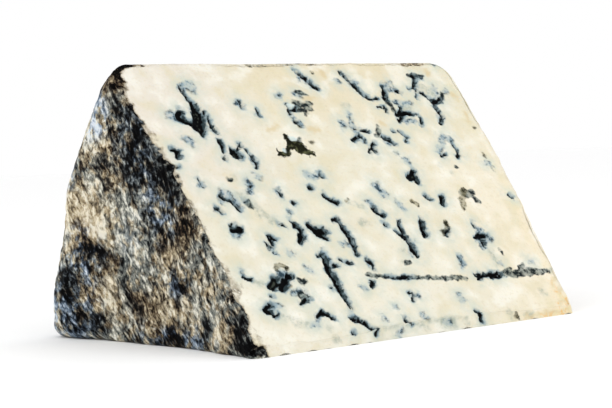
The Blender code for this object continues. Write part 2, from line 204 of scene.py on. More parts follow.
VEINS["soft"] = (
    (1.2, 1, (-59.5, 126.5), (-56, 129.5), (-53, 127.5), (-55, 125)),
    (2.3, 1.6, (-70, 113), (-68, 111)), (1.8, 1.6, (-67.8, 100.5), (-66.8, 99.8)),
    (1, 0.9, (-41.8, 89.5), (-41.6, 87.5)), (0.9, 1, (-72.3, 78.3), (-71.2, 78.8)),
    (1, 1.5, (-49, 80), (-49.4, 77.6)), (1.1, 0.9, (-50, 75), (-50.8, 73.2)),
    (0.6, 0.6, (-44.3, 82.3), (-43, 81.2), (-43.6, 79.9)), (1, 1, (-38, 73.2), (-37.2, 71)),
    (0.9, 1.2, (-63.3, 74.3), (-60.8, 73), (-59.3, 70)), (1.1, 0.9, (-59.3, 70), (-58.4, 67)),
    (0.8, 0.7, (-65.4, 71), (-65.6, 70)), (0.8, 0.6, (-69.8, 66.2), (-68.6, 65.4)),
    (1.1, 1, (-66.8, 55), (-65.2, 54.2)), (0.8, 0.8, (-45.8, 44), (-45, 44)),
    (1.3, 1.2, (-18.8, 80.4), (-16, 78.8), (-14, 79.6)), (1, 0.9, (4.6, 64.8), (5.6, 64.2)),
    (1.6, 1.9, (13.2, 72.6), (15, 68.2)), (1, 1.1, (20, 63), (21, 60)),
    (1.1, 0.9, (37.2, 85.6), (37.4, 82.5)), (0.8, 0.7, (4.4, 132.8), (2.2, 131)),
    (1.2, 1, (5.4, 131), (7.4, 127.4)), (0.9, 0.8, (23.3, 130.2), (23.7, 129.2)),
    (1.2, 1.1, (33, 129.6), (33.4, 128.4)), (1.2, 1, (30.2, 128.4), (32.2, 123)),
    (0.9, 0.8, (-13, 122.2), (-12.2, 122)), (1.2, 1, (-35.6, 118.2), (-35.2, 116.6)),
    (0.8, 0.7, (-28.8, 112.8), (-28.2, 112)), (1.2, 1.1, (-3.2, 123), (-1.4, 122.4)),
    (0.8, 0.7, (-11.2, 110.6), (-10.8, 109)), (0.6, 0.6, (-8.7, 107.4), (-8.6, 105.4)),
    (0.7, 0.7, (20, 112), (17.5, 107), (18.5, 103.5)), (1.3, 1.2, (17.2, 103.4), (18, 102.8)),
    (0.8, 0.8, (13, 107), (14.8, 105.8), (12, 104.3)), (1.6, 1.5, (17.6, 97.8), (18.6, 97.2)),
    (1, 1, (31.6, 95.8), (33.4, 94.4)), (0.7, 0.7, (33.3, 89.2), (33.8, 88.8)),
    (0.9, 0.9, (48, 127.5), (50, 127)), (0.8, 0.7, (52.6, 128.4), (53, 128.1)),
    (0.9, 0.9, (50, 124.2), (53.5, 123.5)), (1.3, 1.2, (49.5, 117), (57, 116)),
    (1, 0.9, (49, 106), (54, 106)), (0.8, 0.8, (77, 126), (76.5, 122)),
    (0.6, 0.6, (81, 122), (84, 123)), (0.9, 0.8, (70, 108.4), (70, 107.6)),
    (1.3, 1.3, (63.5, 94.5), (66, 97), (69, 95)), (0.9, 0.8, (61, 91), (58, 88)),
    (1, 1, (82.6, 80.7), (83.4, 80.3)), (1.1, 0.8, (52.6, 41), (52.2, 38.2)),
    (1, 0.9, (58, 41), (59.6, 41.2)), (1, 0.9, (55.4, 45.8), (57.4, 46)),
    (0.8, 0.8, (57.4, 28.8), (57.8, 28.2)), (1.2, 1, (13.8, 39.2), (12.3, 37.6)),
    (0.6, 0.6, (16.8, 44), (18.2, 43.8)), (0.9, 0.8, (37.8, 33.8), (37.4, 31)),
    (0.6, 0.6, (36.6, 30), (35.6, 29.8)), (0.9, 1.2, (-18.6, 45.6), (-15, 45.2)),
    (0.7, 0.7, (-29.5, 44), (-28.8, 37.5)), (0.9, 0.8, (-10.6, 35.6), (-10.2, 34.4)),
    (0.6, 0.6, (-20, 25.8), (-18.5, 24.2)), (0.7, 0.6, (-71.5, 38), (-71.8, 35.5)),
    (1.6, 1.4, (-54.6, 35), (-52.6, 34.6)), (1.2, 1.1, (-53, 25.5), (-50, 26.5)),
    (0.9, 0.7, (-64.8, 21.5), (-61.8, 20.7)), (0.6, 0.6, (-51.5, 10.5), (-49.5, 11.5)),
    (0.8, 0.8, (-49.2, 10.8), (-47.5, 14)), (0.6, 0.6, (-42, 36.5), (-39.5, 34.5)),
    (0.8, 0.7, (-31.5, 13.7), (-31.1, 13.3)), (0.8, 0.7, (-8.6, 14.9), (-8.1, 14.4)),
    (0.8, 0.7, (-16.8, 10.4), (-16.3, 10.1)), (1.1, 1, (3, 8.8), (3.8, 8)),
    (0.8, 0.7, (5.5, 19), (5, 17.9)), (0.6, 0.7, (13.4, 4.6), (16, 3.4)),
    (0.9, 0.9, (26.2, 15.8), (26.6, 13.6)), (0.8, 0.7, (-10, 3.6), (-12, 1.2)),
    (0.8, 0.7, (75, 28.2), (75.8, 28.1)),
)
VEINS["line"] = (
    (0.9, 0.6, (-57.6, 80.5), (-56.4, 80.4)), (1.4, 1.2, (-54, 68.8), (-53.3, 66.8)),
    (1.3, 1.3, (58, 66), (61.5, 64.6), (64, 66)), (1.2, 1, (62, 64.4), (65.6, 60.8)),
    (0.8, 1.1, (-2.6, 124), (0.4, 123), (1.6, 122.6)), (1.1, 1.3, (-6, 118.6), (-5, 116.2)),
    (1.6, 1.6, (-4, 117.4), (-1, 116.6), (0.8, 117.2)),
    (1, 0.9, (-6, 113.6), (-3.6, 113.2), (-3.2, 111.8)), (1.2, 1.1, (-1.6, 115), (0.4, 114.4)),
    (0.9, 1.1, (-13.6, 99), (-14.8, 96.8)), (1.1, 1, (32, 104), (28.5, 98.5)),
    (1.2, 1.1, (45, 118), (46, 112)), (1.2, 1.1, (66, 132.5), (74, 132)),
    (1.2, 1.3, (72, 117), (76, 117.5), (78, 119)), (1.3, 1, (78, 119), (80, 121.5)),
    (0.8, 0.7, (63.3, 80.2), (63.7, 79.8)), (0.6, 0.6, (61.2, 36), (62.3, 34.6), (62, 33.2)),
    (0.9, 1, (7.6, 33.8), (10.2, 34.3)), (0.9, 0.8, (-47.5, 31.5), (-47, 29.8), (-45, 31)),
    (2.3, 2.1, (-49.8, 24.2), (-49.2, 23)), (0.8, 0.7, (-14, 31), (-11, 29)),
    (0.8, 0.8, (-11, 29.2), (-6, 28.9)), (0.8, 0.7, (7.6, 26.8), (12, 26.1)),
    (0.7, 0.8, (12, 26.1), (20, 25)), (0.8, 1.1, (20, 24.8), (23.5, 24.3)),
    (1, 0.7, (23.5, 24.3), (28.5, 24.5)), (1, 0.9, (29, 24.4), (31.5, 24)),
    (0.9, 0.6, (31.5, 24), (34.4, 23.4)), (1, 0.8, (56.5, 23.6), (58, 25), (61.5, 25.4)),
    (1.2, 1.6, (58, 23.8), (62.5, 22.6), (66, 22.8)), (1.6, 2, (66, 22.9), (71, 23), (76, 22.6)),
    (1.9, 1, (76, 22.7), (82, 22.6)), (1.1, 0.9, (66.6, 25.2), (68.5, 26.5), (70, 26.9)),
)
VEINS["olive"] = (
    (0.7, 2.1, (-19.8, 100.6), (-18.6, 96.6)), (2.9, 2.6, (-18.2, 96.2), (-15.4, 94)),
    (2.2, 1.4, (-15, 93), (-11.8, 91)), (1.6, 1.3, (-26.4, 91.6), (-23.4, 91.2)),
    (1.2, 1.2, (-24, 92.2), (-20.8, 95.2)),
)
VEINS["brown"] = (
    (0.7, 0.7, (-6.3, 66), (-5.7, 66)), (1.3, 1.2, (28.4, 63), (29.4, 62.2)),
    (1.1, 1.3, (60.4, 67.2), (56.3, 63.3), (54.4, 58.3)), (0.8, 0.7, (11.7, 134.4), (12.3, 133.8)),
    (1.1, 1.2, (-10.9, 107.6), (-10.4, 105.6)), (0.8, 0.6, (-8.9, 97), (-7.9, 96.6)),
    (1, 0.9, (83.1, 85.3), (83.4, 84.7)), (0.8, 0.7, (84.4, 77.9), (84.6, 77.5)),
    (1.1, 1.3, (40.2, 51.6), (38.5, 47.4), (35.4, 46.2)), (1.1, 1, (-54.6, 30.2), (-53.4, 29.4)),
    (1, 1, (-56, 37), (-54.2, 39), (-51, 37.5)), (0.7, 0.8, (51.4, 4.4), (51.8, 1.4)),
    (0.5, 0.5, (87.8, 101.5), (87.6, 100.5)), (0.8, 0.8, (-20.6, 139.2), (-19.4, 138.8)),
)
VEINS["faint"] = (
    (0.8, 0.6, (-56, 80.7), (-54, 81.3)), (2.2, 1.8, (-56, 72), (-51, 66), (-46, 59)),
    (1.2, 1, (-50.6, 65.2), (-51.5, 61.8)), (0.8, 0.8, (-5, 65.4), (0.6, 62.6)),
    (1.8, 1.8, (-4, 55), (-2, 55)), (1, 1, (18.4, 116.2), (21.8, 115.8)),
    (2.2, 2.2, (53, 114.2), (55, 113.8)), (2, 2, (70.6, 125.4), (74.2, 122.4)),
    (0.9, 0.8, (54.3, 81.1), (54.8, 80.9)), (0.8, 0.7, (58.8, 77.1), (59.3, 76.9)),
    (1.2, 1.2, (56.2, 35.5), (55.6, 28.5)), (1, 1, (8.5, 39.4), (9.6, 40.2)),
    (0.9, 0.9, (5.5, 34.6), (6.8, 34.6)), (0.9, 0.9, (-58.5, 12), (-55, 11)),
    (1, 1, (-45, 8.7), (-44.6, 8.4)), (1.6, 1.6, (-43.6, 4.6), (-42.4, 3.4)),
    (3, 2.8, (13, 4.2), (17, 3.6)), (0.9, 0.9, (24, 4.4), (24.4, 2)),
    (1.6, 1.4, (1, 3.6), (3, 2.6)), (1.5, 1.3, (47.8, 5), (48.6, 2.6)),
    (1.4, 1.4, (57.4, 2.8), (60.4, 2.4)), (1.5, 1.2, (72, 12.8), (73.2, 11.4)),
    (0.5, 0.5, (-19, 5.6), (-6, 5.4), (6, 5.8), (21, 5.6)),
    (0.9, 0.9, (8, 26.6), (13, 25.9), (20, 25)), (1.4, 1.2, (82, 23), (86, 22.6)),
    (1.2, 1.2, (-66, 18), (-58, 13.5), (-54, 12)), (1.2, 1.2, (-68.4, 32.8), (-63, 30)),
)
VEINS["tan"] = (
    (1.3, 1.2, (16.5, 136), (17.6, 133.5)), (0.9, 0.8, (-26.6, 103.4), (-21.4, 106.4)),
    (1.3, 1, (-6, 103.4), (-1.4, 103.2)), (1, 0.8, (0, 120.4), (5, 120.6)),
    (1, 0.9, (34.8, 105.8), (35.6, 105.2)), (1.3, 1.1, (79, 135), (77.5, 133)),
    (0.8, 0.7, (79.6, 14.6), (81.4, 17), (83.6, 18.2)), (0.7, 0.7, (80.6, 10.8), (83.2, 13.2)),
    (1, 0.9, (78.2, 5.8), (80, 7), (84.6, 7.4)), (0.9, 0.7, (86.4, 121.5), (87.4, 117.5)),
    (0.8, 0.7, (87, 109.5), (86.6, 105)), (0.7, 0.9, (58, 1.4), (84, 2)),
)
# The pale marks: painted highlights, whitish glints on the wet mould of the veins.
VEINS["pale"] = (
    (1.1, 1, (-9.4, 116.8), (-8.4, 116.6)), (1.3, 1, (-17.2, 99.2), (-16.2, 98.8)),
    (0.8, 0.7, (-24.6, 93.4), (-23.6, 93.8)),
)
TONES = ("dark", "core", "soft", "line", "olive", "brown", "faint", "tan", "pale")

# A dark vein's black core, partly the mould's own dark and partly painted shadow on one side of the
# vein's hollow: its share of the width, at most this much narrower on each side, and how far it
# lies to one side, in millimetres.
CORE_SHARE = 0.64
CORE_MARGIN = 0.7
CORE_SHIFT = (-0.35, 0.1)

# How far outside a dark vein its hollow starts, and how wide the hollow's slope is, in millimetres.
VEIN_LIP = 0.4
VEIN_SLOPE = 2.6

# The size, amount and seed of each noise that moves the veins and the patches, in millimetres, and
# how far apart both directions of a move take their noise. Then how fast a patch fades outwards.
VEIN_WARPS = ((2.4, 0.8, 3.0), (1.0, 0.3, 8.0))
PATCH_WARP = (7.0, 4.0, 17.0)
WARP_OFFSETS = Vector((11.3, 47.9, 5.7)), Vector((63.1, 8.6, 29.4))
PATCH_FALL = 0.7

# The depth that stands for no vein, and the depths that the points carry, in millimetres.
NO_VEIN = -12.0
VEIN_RANGE = (-8, 5)
RIND_RANGE = (-9, 8)

# How thick the rind shows on the cut's left edge, after the place up the slope, in millimetres.
CRUST = (
    (0, 7.5), (5, 7.0), (8, 2.4), (20, 1.6), (28, 2.6), (37, 1.6), (45, 0.4), (60, 0.6), (80, 0.6),
    (86, 1.4), (88.5, 4.8), (91, 1.0), (100, 0.6), (110, 1.3), (120, 2.8), (130, 5.0), (138, 6.0),
    (141, 9.0),
)

# How the rind's inner edge wanders on the cut: size, depth and seed of each noise, in millimetres.
CRUST_BITES = ((7.0, 3.0, 3.0), (2.6, 2.2, 9.0))

# How far round the left and right end the paste goes on before the rind starts, and where this
# fades out near the heel, in millimetres.
LEFT_BARE_EDGE = -0.4
RIGHT_BARE_EDGE = 7.0
BARE_EDGE_FADE = 12

# How far the paste goes on over the heel's edge, by the place along X, and where this fades out, in
# millimetres. The rind's lip there waves by this much and is narrower by a share of the bare edge.
HEEL_BARE_EDGE = (
    (-88, 0), (-84, 1.5), (-24, 2.6), (-18, 0), (16, 0), (20, 2.6), (56, 2.6), (60, 0), (90, 0),
)
HEEL_BARE_FADE = 6
LIP_WAVE = 0.9
LIP_WAVE_SIZE = 16
LIP_DROP = 0.4

# The yellow rim on the cut's right, in millimetres: its middle and reach from that edge, the height
# where it is down to its least share, the corner's middle height and reach, and the foot's height,
# start and reach along X. Then the strengths.
RIM_MIDDLE, RIM_REACH, RIM_HEIGHT, RIM_LEAST = 5, 5, 30, 0.35
CORNER_HEIGHT, CORNER_REACH = 2, 13
FOOT_HEIGHT, FOOT_START, FOOT_REACH = 5, 35, 30
CORNER_STRENGTH, FOOT_STRENGTH, RIM_ON_RIND = 1.3, 0.8, 0.3

# How far left of the middle the left end's own patches set in and are full, in millimetres.
LEFT_END = (60, 82)

# Patches of each tone on the left end's rind: middle along Y and Z and half sizes, in millimetres,
# and strength. The blue patches are partly the crust's blue mould and partly painted bluish
# highlights, as at the top of the left rim.
RIND_PATCHES = {
    "dark": (
        (74, 93, 6, 6, 1), (67, 83, 7, 7, 1.1), (58, 71, 9, 9, 1.1), (50, 58, 6, 8, 1),
        (45, 49, 5, 5, 1.1), (70, 78, 12, 14, 0.5), (62, 58, 12, 10, 0.35), (83, 107, 9, 6, 1.25),
        (110, 38, 8, 7, 0.9), (117, 25, 9, 9, 0.9), (112, 9, 10, 7, 0.65), (76, 18, 10, 10, 0.5),
        (60, 3.5, 16, 4, 0.65), (37, 6, 5, 4, 0.7), (52, 24, 5, 4, 0.6), (12, 12, 5, 8, 0.6),
        (4, 4, 6, 3, 1.4), (53, 43, 7, 6, 0.7), (97, 68, 9, 6, 0.35), (22, 6, 3, 5, 0.4),
    ),
    "pale": (
        (92, 95, 7, 7, 0.8), (98, 88, 6, 6, 0.8), (112, 74, 5, 12, 0.6), (110, 52, 16, 9, 0.85),
        (120, 46, 9, 8, 0.7), (96, 44, 8, 6, 0.6), (82, 42, 7, 7, 0.5), (60, 33, 5, 5, 0.45),
        (97, 22, 5, 14, 0.55), (54, 11, 7, 5, 0.6), (44, 24, 6, 5, 0.5), (28, 8, 5, 7, 0.6),
        (108, 19, 5, 5, 0.4), (92, 4, 4, 6, 0.5), (33, 30, 6, 5, 0.4), (132, 14, 8, 12, 0.5),
    ),
    "warm": (
        (112, 52, 18, 11, 1), (90, 80, 10, 9, 0.6), (84, 106, 12, 6, 1), (46, 46, 6, 9, 1),
        (56, 36, 9, 7, 0.9), (66, 14, 19, 9, 0.8), (97, 20, 7, 14, 0.7), (20, 6, 7, 4, 0.8),
        (36, 26, 8, 8, 0.5), (108, 19, 6, 6, 0.8), (90, 66, 9, 6, 0.6),
    ),
    "blue": (
        (94, 92, 7, 8, 1), (70, 78, 10, 16, 0.6), (82, 42, 9, 8, 0.3), (112, 34, 10, 12, 0.7),
        (122, 10, 14, 12, 0.8), (56, 4, 20, 4, 0.9), (132, 12, 10, 14, 1), (118, 82, 7, 16, 1),
        (60, 56, 9, 12, 0.7), (52, 24, 6, 5, 0.7),
    ),
}

# The camera, from the photograph's outline.
CAMERA_AIM = Vector((-0.00394, -0.00230, 0.05144))
CAMERA_DISTANCE = 0.670
CAMERA_AZIMUTH = math.radians(-37.52)
CAMERA_ELEVATION = math.radians(2.07)
CAMERA_ROLL = math.radians(-2.62)
CAMERA_LENS = 93.14
CAMERA_SENSOR = 36


def add_object(name, data):
    made = bpy.data.objects.new(name, data)
    bpy.context.scene.collection.objects.link(made)
    return made


def place_camera():
    cos_el = math.cos(CAMERA_ELEVATION)
    back = Vector((
        math.sin(CAMERA_AZIMUTH) * cos_el,
        -math.cos(CAMERA_AZIMUTH) * cos_el,
        math.sin(CAMERA_ELEVATION),
    ))
    level = Vector((0, 0, 1)).cross(back).normalized()
    upright = back.cross(level)
    right = level * math.cos(CAMERA_ROLL) + upright * math.sin(CAMERA_ROLL)
    up = upright * math.cos(CAMERA_ROLL) - level * math.sin(CAMERA_ROLL)
    turn = Matrix((right, up, back)).transposed().to_4x4()
    data = bpy.data.cameras.new("camera")
    data.lens = CAMERA_LENS
    data.sensor_width = CAMERA_SENSOR
    camera = add_object("camera", data)
    camera.matrix_world = Matrix.Translation(CAMERA_AIM + back * CAMERA_DISTANCE) @ turn
    bpy.context.scene.camera = camera


# The shape.


def into_shoulder(side, radius):
    climb = radius - (WHEEL_RADIUS - SHOULDER_RADIUS[side])
    return math.asin(min(max(climb / SHOULDER_RADIUS[side], 0.0), 1.0))


def face_reach(side, radius):
    """How far the wheel's flat face on this side lies from the wheel's mid plane at this radius."""
    t = radius / WHEEL_RADIUS
    flat = HUB_HALF_WIDTH + RIM_SPREAD[side] * t - FACE_DISH[side] * 4 * t * (1 - t)
    return flat - SHOULDER_RADIUS[side] * (1 - math.cos(into_shoulder(side, radius)))


def outline_radii():
    first = TIP_HIGH_RADIUS
    shoulder = max(SHOULDER_RADIUS.values())
    last_flat = WHEEL_RADIUS - shoulder
    flat = [first + (last_flat - first) * row / FACE_ROWS for row in range(FACE_ROWS)]
    turns = [math.pi / 2 * row / SHOULDER_ROWS for row in range(SHOULDER_ROWS + 1)]
    return flat + [last_flat + shoulder * math.sin(turn) for turn in turns]


def crowded(share):
    return share - ANGLE_CROWDING * math.sin(2 * math.pi * share) / (2 * math.pi)


def plain_wedge():
    """The wheel places (x, radius, angle) of all vertices, and the faces: the cut's grid, then its
    boundary carried down round the axis, then one face for the flat bottom."""
    radii = outline_radii()
    last = len(radii) - 1
    wide = COLUMNS + 1
    places = []
    for radius in radii:
        left, right = -face_reach(LEFT, radius), face_reach(RIGHT, radius)
        for column in range(wide):
            places.append((left + (right - left) * column / COLUMNS, radius, WEDGE_ANGLE))
    faces = []
    for row in range(last):
        for column in range(COLUMNS):
            low = row * wide + column
            faces.append((low, low + 1, low + wide + 1, low + wide))
    loop = [row * wide for row in range(last + 1)]
    loop += [last * wide + column for column in range(1, wide)]
    loop += [row * wide + COLUMNS for row in range(last - 1, -1, -1)]
    loop += list(range(COLUMNS - 1, 0, -1))
    ring = loop
    for step in range(1, ANGLE_STEPS + 1):
        angle = WEDGE_ANGLE * crowded(1 - step / ANGLE_STEPS)
        first = len(places)
        places += [(places[i][0], places[i][1], angle) for i in loop]
        lower = list(range(first, first + len(loop)))
        for i in range(len(loop)):
            j = (i + 1) % len(loop)
            faces.append((ring[i], ring[j], lower[j], lower[i]))
        ring = lower
    faces.append(tuple(ring))
    return np.array(places), faces


def ripple(point, size, seed):
    return noise.noise(point / size + Vector((seed, 0, 0)))


def tip_radius(x, angle):
    from_middle = (x - TIP_FACET_MIDDLE) / TIP_FACET_REACH
    high = TIP_HIGH_RADIUS + TIP_FACET_EXTRA * math.exp(-(from_middle**4))
    chip = CHIP_DEPTH * max(0.0, ripple(Vector((x, 0, 0)), RAGGED_SIZE * 2, 5.0))
    share = angle / WEDGE_ANGLE
    wear = TIP_CORNER_WEAR * max(0.0, 1 - (x + HUB_HALF_WIDTH) / TIP_CORNER_SIZE) ** 2
    return TIP_LOW_RADIUS + wear + (high + chip - TIP_LOW_RADIUS) * share


def rind_turn(x, radius):
    """The side of the wheel, and how far the rind has turned there from flat face to rim."""
    side = LEFT if x < 0 else RIGHT
    on_heel = radius > WHEEL_RADIUS - SAME_PLACE and abs(x) < face_reach(side, radius) - SAME_PLACE
    return side, math.pi / 2 if on_heel else into_shoulder(side, radius)


def is_on_rind(x, radius):
    side = LEFT if x < 0 else RIGHT
    return abs(x) > face_reach(side, radius) - SAME_PLACE or radius > WHEEL_RADIUS - SAME_PLACE


def rounded_edge(height, size):
    below = min(max(1 - height / size, 0.0), 1.0)
    return size * (1 - math.sqrt(1 - below**2))


def near_heel_corner(point, size):
    corner = Vector((-face_reach(LEFT, WHEEL_RADIUS), WHEEL_RADIUS, 0))
    return max(0.0, 1 - (point - corner).length / size)


def edge_round(point, radius, angle):
    nearness = near_heel_corner(point, HEEL_CORNER_SIZE)
    low_size = EDGE_ROUND + (HEEL_CORNER_ROUND - EDGE_ROUND) * nearness**0.5
    low = rounded_edge(point.z, low_size)
    return low + rounded_edge(radius * math.sin(WEDGE_ANGLE - angle), EDGE_ROUND)


def grain(point):
    """Rind coordinates in millimetres, stretched along the strands, which stand upright but fan out
    lower down."""
    fanned = STRAND_LEAN * STRAND_LEAN_HEIGHT * (1 - math.exp(-point.z / STRAND_LEAN_HEIGHT))
    return Vector((point.y - fanned, STRAND_STRETCH * point.z, point.x)) / MM


def rind_relief(point, radius, angle, on_edge):
    side, turn = rind_turn(point.x, radius)
    height = RIND_BUMP * ripple(point, RIND_BUMP_SIZE, 0.0)
    height -= RIND_PIT * abs(ripple(point, RIND_PIT_SIZE, 11.0))
    height += HEEL_CORNER_SLUMP * near_heel_corner(point, HEEL_SLUMP_SIZE)
    height -= edge_round(point, radius, angle)
    fibre = noise.noise(grain(point) * RIND_FIBRE_SCALE)
    height += RIND_FIBRE * fibre * min(1.0, point.z / RIND_FIBRE_START)
    if on_edge:
        height -= RAGGED_EDGE * abs(ripple(point, RAGGED_SIZE, 23.0))
    out = math.sin(turn)
    return height * Vector((side * math.cos(turn), out * math.cos(angle), out * math.sin(angle)))


# The marks on the surface.


def path_depth(x, climb, first, last, points):
    """How far inside a vein each place lies, in millimetres: positive inside, negative outside."""
    steps = len(points) - 1
    best = np.full(x.shape, -np.inf)
    for index, (start, end) in enumerate(zip(points, points[1:])):
        dx, dy = end[0] - start[0], end[1] - start[1]
        along = ((x - start[0]) * dx + (climb - start[1]) * dy) / (dx * dx + dy * dy)
        along = np.clip(along, 0, 1)
        away = np.hypot(x - start[0] - dx * along, climb - start[1] - dy * along)
        width = first + (last - first) * (index + along) / steps
        best = np.maximum(best, width - away)
    return best


def core_width(width):
    return max(width * CORE_SHARE, width - CORE_MARGIN)


def vein_depths(x, climb):
    """For each tone, how far inside its nearest vein each place lies."""
    depths = {tone: np.full(x.shape, NO_VEIN) for tone in TONES}
    for tone, veins in VEINS.items():
        for first, last, *points in veins:
            depths[tone] = np.maximum(depths[tone], path_depth(x, climb, first, last, points))
    # The black cores, partly painted shadow, are moved by CORE_SHIFT to one side of each hollow.
    moved = (x - CORE_SHIFT[0], climb - CORE_SHIFT[1])
    for first, last, *points in VEINS["dark"]:
        inside = path_depth(*moved, core_width(first), core_width(last), points)
        depths["core"] = np.maximum(depths["core"], inside)
    return depths


def warp(x, climb, size, amount, seed):
    """The places, moved by smooth noise so that drawn lines turn ragged."""
    moved_x, moved_y = np.empty_like(x), np.empty_like(x)
    for i in range(len(x)):
        place = Vector((x[i] / size, climb[i] / size, seed))
        moved_x[i], moved_y[i] = (noise.noise(place + offset) for offset in WARP_OFFSETS)
    return x + amount * moved_x, climb + amount * moved_y


def patch(y, z, rows):
    """How strongly each place lies in the patches of one tone."""
    best = np.zeros(y.shape)
    for middle_y, middle_z, wide, high, strength in rows:
        away = ((y - middle_y) / wide) ** 2 + ((z - middle_z) / high) ** 2
        best = np.maximum(best, strength * np.exp(-away * PATCH_FALL))
    return best


def add_float(mesh, name, values):
    made = mesh.attributes.new(name, "FLOAT", "POINT")
    made.data.foreach_set("value", np.asarray(values, dtype=np.float32))


def mark_rind(mesh, x, radius, angle, climb, past_cut):
    """Writes how far inside the rind each place is, in millimetres, and how much it belongs to the
    cut's right rim."""
    along, up = x / MM, climb / MM
    from_left = along + np.array([face_reach(LEFT, r) for r in radius]) / MM
    from_right = np.array([face_reach(RIGHT, r) for r in radius]) / MM - along
    from_heel = (WHEEL_RADIUS - radius) / MM
    crust = np.interp(up, *zip(*CRUST))
    for size, depth, seed in CRUST_BITES:
        bites = [noise.noise(Vector((a / size, b / size, seed))) for a, b in zip(along, up)]
        crust = crust + depth * np.array(bites)
    heel_bare = np.interp(along, *zip(*HEEL_BARE_EDGE))
    waves = np.array([noise.noise(Vector((a / LIP_WAVE_SIZE, 7.0, 0.0))) for a in along])
    lip = LIP_WAVE * waves - LIP_DROP * heel_bare
    inside = np.maximum(crust - from_left, lip - from_heel)
    from_cut = radius * np.sin(WEDGE_ANGLE - angle) / MM
    bare = np.where(x > 0, RIGHT_BARE_EDGE, LEFT_BARE_EDGE)
    bare = bare * np.clip(from_heel / BARE_EDGE_FADE, 0, 1)
    bare = bare + heel_bare * np.clip(1 - from_heel / HEEL_BARE_FADE, 0, 1)
    inside = np.where(past_cut, np.maximum(inside, from_cut - bare), inside)
    add_float(mesh, "rind", np.clip(inside, *RIND_RANGE))

    low = np.clip(1 - up / RIM_HEIGHT, 0, 1)
    rim = np.clip(1 - np.abs(from_right - RIM_MIDDLE) / RIM_REACH, 0, 1)
    rim = rim * (RIM_LEAST + (1 - RIM_LEAST) * low)
    from_corner = np.hypot(from_right, up - CORNER_HEIGHT)
    corner = np.clip(CORNER_STRENGTH - from_corner / CORNER_REACH, 0, 1)
    foot = np.clip(1 - up / FOOT_HEIGHT, 0, 1) * np.clip((along - FOOT_START) / FOOT_REACH, 0, 1)
    rim = np.maximum(np.maximum(rim, corner), FOOT_STRENGTH * foot)
    add_float(mesh, "rim", np.where(past_cut, RIM_ON_RIND * (x > 0), rim))


def build_cheese():
    places, faces = plain_wedge()
    x, radius, angle = places[:, 0], places[:, 1], places[:, 2]
    count = len(places)
    on_rind = np.array([is_on_rind(a, r) for a, r in zip(x, radius)])
    on_cut = angle > WEDGE_ANGLE - SAME_PLACE
    on_tip = radius < TIP_HIGH_RADIUS + SAME_PLACE

    tops = np.array([tip_radius(a, WEDGE_ANGLE) for a in x])
    near_tip = np.clip((TIP_SLOPE_END - radius) / (TIP_SLOPE_END - TIP_HIGH_RADIUS), 0, 1)
    radius = np.where(on_cut, radius + (tops - TIP_HIGH_RADIUS) * near_tip, radius)
    reach = np.where(on_tip & ~on_cut, [tip_radius(a, t) for a, t in zip(x, angle)], radius)
    climb = reach * np.where(on_cut, 1.0, angle / WEDGE_ANGLE)
    warped = x / MM, climb / MM
    for settings in VEIN_WARPS:
        warped = warp(*warped, *settings)
    depths = vein_depths(*warped)
    wheel_y, wheel_z = radius * np.cos(angle), radius * np.sin(angle)
    points = [Vector(place) for place in zip(x, wheel_y, wheel_z)]

    slope_out = Vector((0, -math.sin(WEDGE_ANGLE), math.cos(WEDGE_ANGLE)))
    final = np.empty((count, 3))
    grains = np.empty((count, 3))
    for i, point in enumerate(points):
        r, t = radius[i], angle[i]
        from_knob = (Vector((point.x, climb[i])) - KNOB).length
        knob = KNOB_HEIGHT * max(0.0, 1 - from_knob / KNOB_SIZE) ** KNOB_BLUNT
        target = Vector((point.x, reach[i] * math.cos(t), reach[i] * math.sin(t)))
        if on_rind[i]:
            target += rind_relief(point, r, t, on_cut[i] or t < SAME_PLACE)
        elif on_cut[i]:
            height = CUT_WAVE * ripple(point, CUT_WAVE_SIZE, 31.0)
            smear, crumb = ripple(point, CUT_SMEAR_SIZE, 41.0), ripple(point, CUT_CRUMB_SIZE, 47.0)
            height += CUT_SMEAR * smear + CUT_CRUMB * crumb
            inside = min(max((depths["dark"][i] + VEIN_LIP) / VEIN_SLOPE, 0.0), 1.0)
            height -= VEIN_DEPTH * inside * (2 - inside)
            height -= TIP_ROUND * math.exp(-(r - tops[i]) / TIP_ROUND_SIZE)
            target += slope_out * (height + knob)
        elif on_tip[i]:
            lump = TIP_LUMP * ripple(target, TIP_LUMP_SIZE, 53.0)
            lump *= min(1.0, 4 * t / WEDGE_ANGLE)
            target += TIP_OUT * (knob + lump) * min(1.0, 3 * t / WEDGE_ANGLE)
            notch = ripple(Vector((point.x, 0, 0)), TIP_NOTCH_SIZE, 61.0)
            notch = max(0.0, notch - TIP_NOTCH_LEAST)
            target.z += TIP_NOTCH * notch * max(0.0, 1 - 4 * t / WEDGE_ANGLE)
        final[i] = target
        grains[i] = grain(point)

    lows, highs = final.min(axis=0), final.max(axis=0)
    final -= ((lows[0] + highs[0]) / 2, (lows[1] + highs[1]) / 2, lows[2])

    mesh = bpy.data.meshes.new("cheese")
    mesh.from_pydata(final.tolist(), [], faces)
    for tone in TONES:
        values = np.where(on_cut | on_tip, depths[tone], NO_VEIN)
        add_float(mesh, "vein_" + tone, np.clip(values, *VEIN_RANGE))
    mark_rind(mesh, x, radius, angle, climb, on_rind & ~on_cut)
    nearness = np.interp(-x / MM, LEFT_END, (0, 1))
    place = warp(wheel_y / MM, wheel_z / MM, *PATCH_WARP)
    for tone, rows in RIND_PATCHES.items():
        add_float(mesh, "patch_" + tone, patch(*place, rows) * nearness)
    add_float(mesh, "left_end", nearness)
    stretched = mesh.attributes.new("grain", "FLOAT_VECTOR", "POINT")
    stretched.data.foreach_set("vector", grains.astype(np.float32).ravel())

    mesh.polygons[len(faces) - 1].material_index = 1
    mesh.shade_smooth()
    mesh.set_sharp_from_angle(angle=SHARP_FROM)
    return add_object("cheese", mesh)


# The materials.


